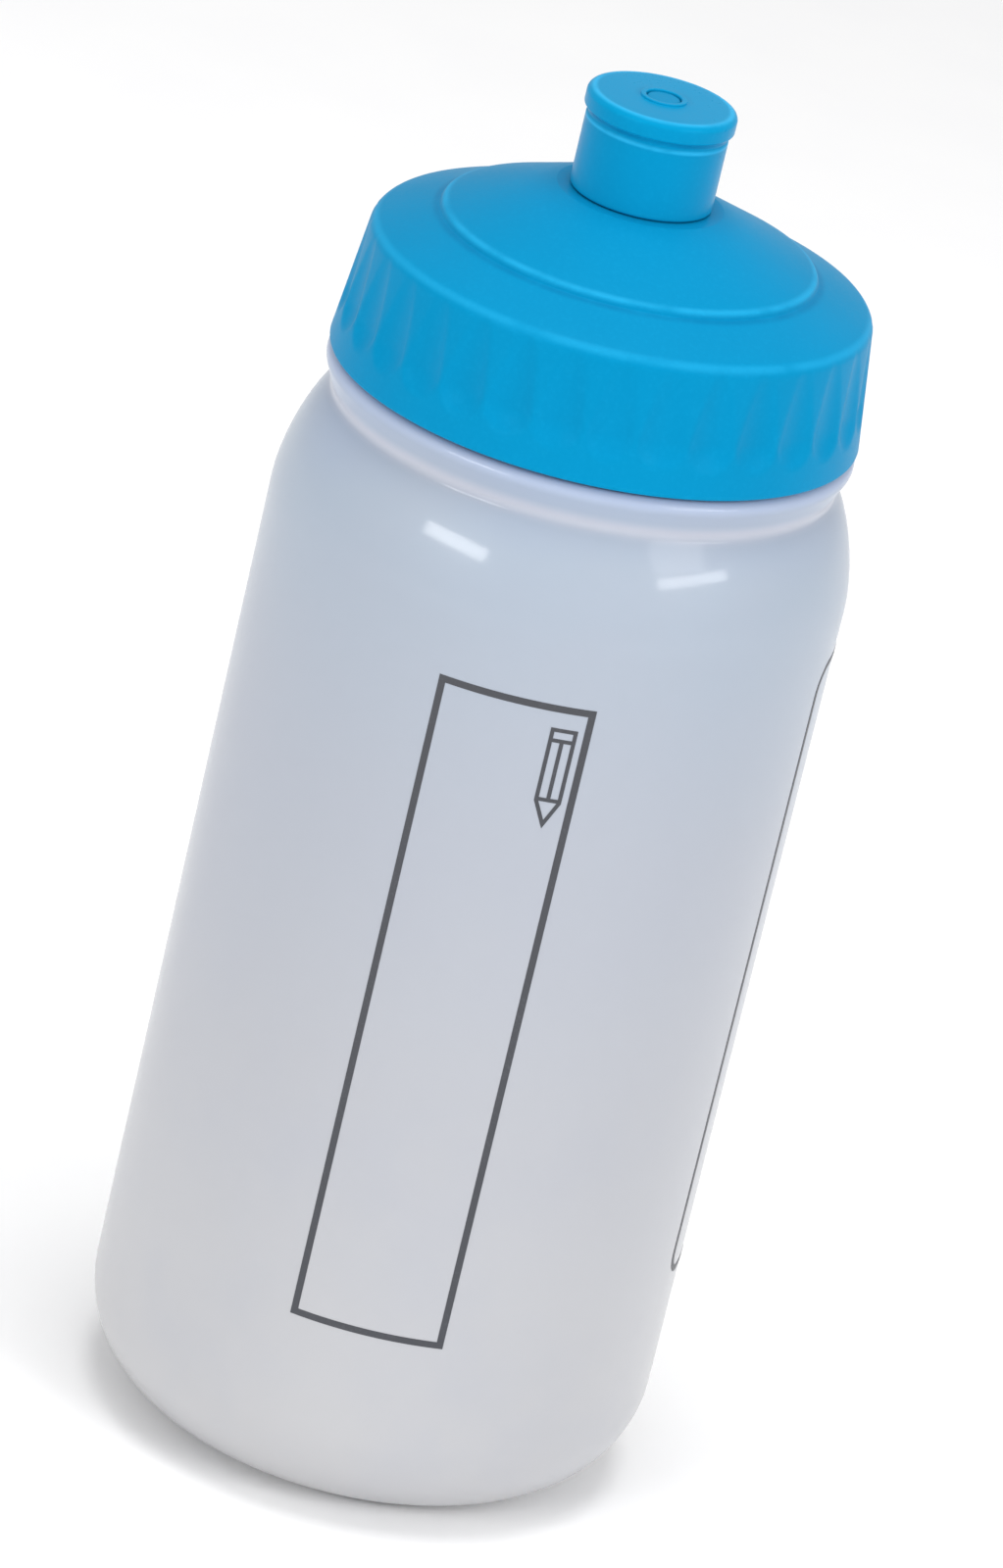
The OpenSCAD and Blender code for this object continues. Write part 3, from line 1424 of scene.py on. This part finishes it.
@dataclass
class PushPullNozzle:
    """The nozzle: a sleeve on the spout with a rounded drinking lip and a rimmed hole in its roof."""

    finishes: Finishes
    sleeve_r: float = 9
    lip_r: float = 9.5
    lip_h: float = 2.4
    lip_round: float = 0.9
    rim_h: float = 0.3
    rim_w: float = 0.7
    rim_round: float = 0.15
    recess: float = 0.2
    recess_h: float = 0.9
    chamfer: float = 0.3
    bore_r: float = 7.1
    room_r: float = 7.6
    catch_lip: float = 1.5
    roof_t: float = 1.7
    hole_r: float = 2.25
    grid: float = 2.5
    steps: int = 6

    def build(self) -> None:
        """Builds the nozzle and dresses it."""
        lip_top = NOZZLE.high - self.rim_h
        lip_z = lip_top - self.lip_h
        roof_z = lip_top - self.roof_t
        form = Form()
        form.outline(
            [
                Corner(self.bore_r, NOZZLE.low, EASED),
                Corner(self.sleeve_r, NOZZLE.low, EASED),
                Corner(self.sleeve_r, lip_z - self.recess_h - self.chamfer, FINE),
                Corner(self.sleeve_r - self.recess, lip_z - self.recess_h, CRISP),
                Corner(self.sleeve_r - self.recess, lip_z - self.recess, CRISP),
                Corner(self.lip_r, lip_z, EASED),
                Corner(self.lip_r, lip_top, self.lip_round),
                Corner(self.hole_r + self.rim_w, lip_top, CRISP),
                Corner(self.hole_r + self.rim_w, NOZZLE.high, self.rim_round),
                Corner(self.hole_r, NOZZLE.high, self.rim_round),
                Corner(self.hole_r, roof_z),
                Corner(self.room_r, roof_z, SOFT),
                Corner(self.room_r, NOZZLE.low + self.catch_lip, CRISP),
                Corner(self.bore_r, NOZZLE.low + self.catch_lip, CRISP),
            ]
        )
        form.divide(self.grid)
        form.turn(self.steps)
        place(form.object("nozzle_sleeve"), Body.NOZZLE, Slot.NOZZLE, self.finishes.nozzle, "nozzle")


# ------------------------------------------------------------------------------------------- the studio


@dataclass(frozen=True)
class Viewpoint:
    """The camera: its distance and height over the aim, its lens and how far it is rolled."""

    aim: tuple[float, float, float] = (0.19, 0, 90.58)
    distance: float = 1092.66
    elevation: float = 22.98
    roll: float = 13.44
    lens: float = 197.27

    def build(self) -> None:
        """Makes the camera and gives it to the scene."""
        data = bpy.data.cameras.new("camera")
        data.lens = self.lens
        camera = bpy.data.objects.new("camera", data)
        bpy.context.scene.collection.objects.link(camera)
        up = math.radians(self.elevation)
        offset = Vector((0, -math.cos(up), math.sin(up))) * self.distance
        turned = (-offset).to_track_quat("-Z", "Y").to_matrix().to_4x4()
        rolled = turned @ Matrix.Rotation(math.radians(self.roll), 4, "Z")
        camera.matrix_world = Matrix.Translation((Vector(self.aim) + offset) * MM) @ rolled
        bpy.context.scene.camera = camera


@dataclass(frozen=True)
class SoftBox:
    """A rectangular studio light that looks at the bottle's middle, with its lengths in metres."""

    name: str
    azimuth: float
    elevation: float
    width: float
    height: float
    power: float
    distance: float = 1.2

    def build(self) -> None:
        """Makes the light."""
        data = bpy.data.lights.new(self.name, "AREA")
        data.shape = "RECTANGLE"
        data.size = self.width
        data.size_y = self.height
        data.energy = self.power
        light = bpy.data.objects.new(self.name, data)
        bpy.context.scene.collection.objects.link(light)
        side, up = math.radians(self.azimuth), math.radians(self.elevation)
        away = Vector((math.sin(side) * math.cos(up), -math.cos(side) * math.cos(up), math.sin(up)))
        turned = (-away).to_track_quat("-Z", "Y").to_matrix().to_4x4()
        middle = Vector((0, 0, BOTTLE.high * MM / 2))
        light.matrix_world = Matrix.Translation(middle + away * self.distance) @ turned


@dataclass(frozen=True)
class Studio:
    """The floor, the even light of the room and the soft boxes."""

    room: float = 0.55
    floor_half: float = 3000
    boxes: tuple[SoftBox, ...] = (
        SoftBox("left_box", azimuth=-40, elevation=19, width=0.56, height=0.13, power=5.3),
        SoftBox("right_box", azimuth=59, elevation=21, width=0.62, height=0.11, power=3.6),
        SoftBox("right_fill", azimuth=54, elevation=33, width=0.44, height=0.34, power=2.4),
        SoftBox("top_box", azimuth=0, elevation=88, width=0.66, height=0.66, power=7.8),
    )

    def build(self) -> None:
        """Makes the floor and the lights."""
        scene = bpy.context.scene
        scene.view_settings.view_transform = "Standard"
        scene.world = bpy.data.worlds.new("studio")
        scene.world.use_nodes = True
        background = scene.world.node_tree.nodes["Background"]
        background.inputs["Color"].default_value = (1, 1, 1, 1)
        background.inputs["Strength"].default_value = self.room
        for box in self.boxes:
            box.build()
        form = Form()
        bmesh.ops.create_grid(form.mesh, x_segments=2, y_segments=2, size=self.floor_half)
        floor = form.object("floor")
        floor.data.materials.append(StudioFloor().make())


def main() -> None:
    """Builds the studio and the bottle, piece by piece."""
    logging.basicConfig(level=logging.INFO, format="%(name)s: %(message)s")
    Viewpoint().build()
    Studio().build()
    finishes = Finishes.make()
    for assembly in (BlownBottle, PrintedPanels, SealingRing, ScrewLid, PushPullNozzle):
        assembly(finishes).build()


if __name__ == "__main__":
    main()
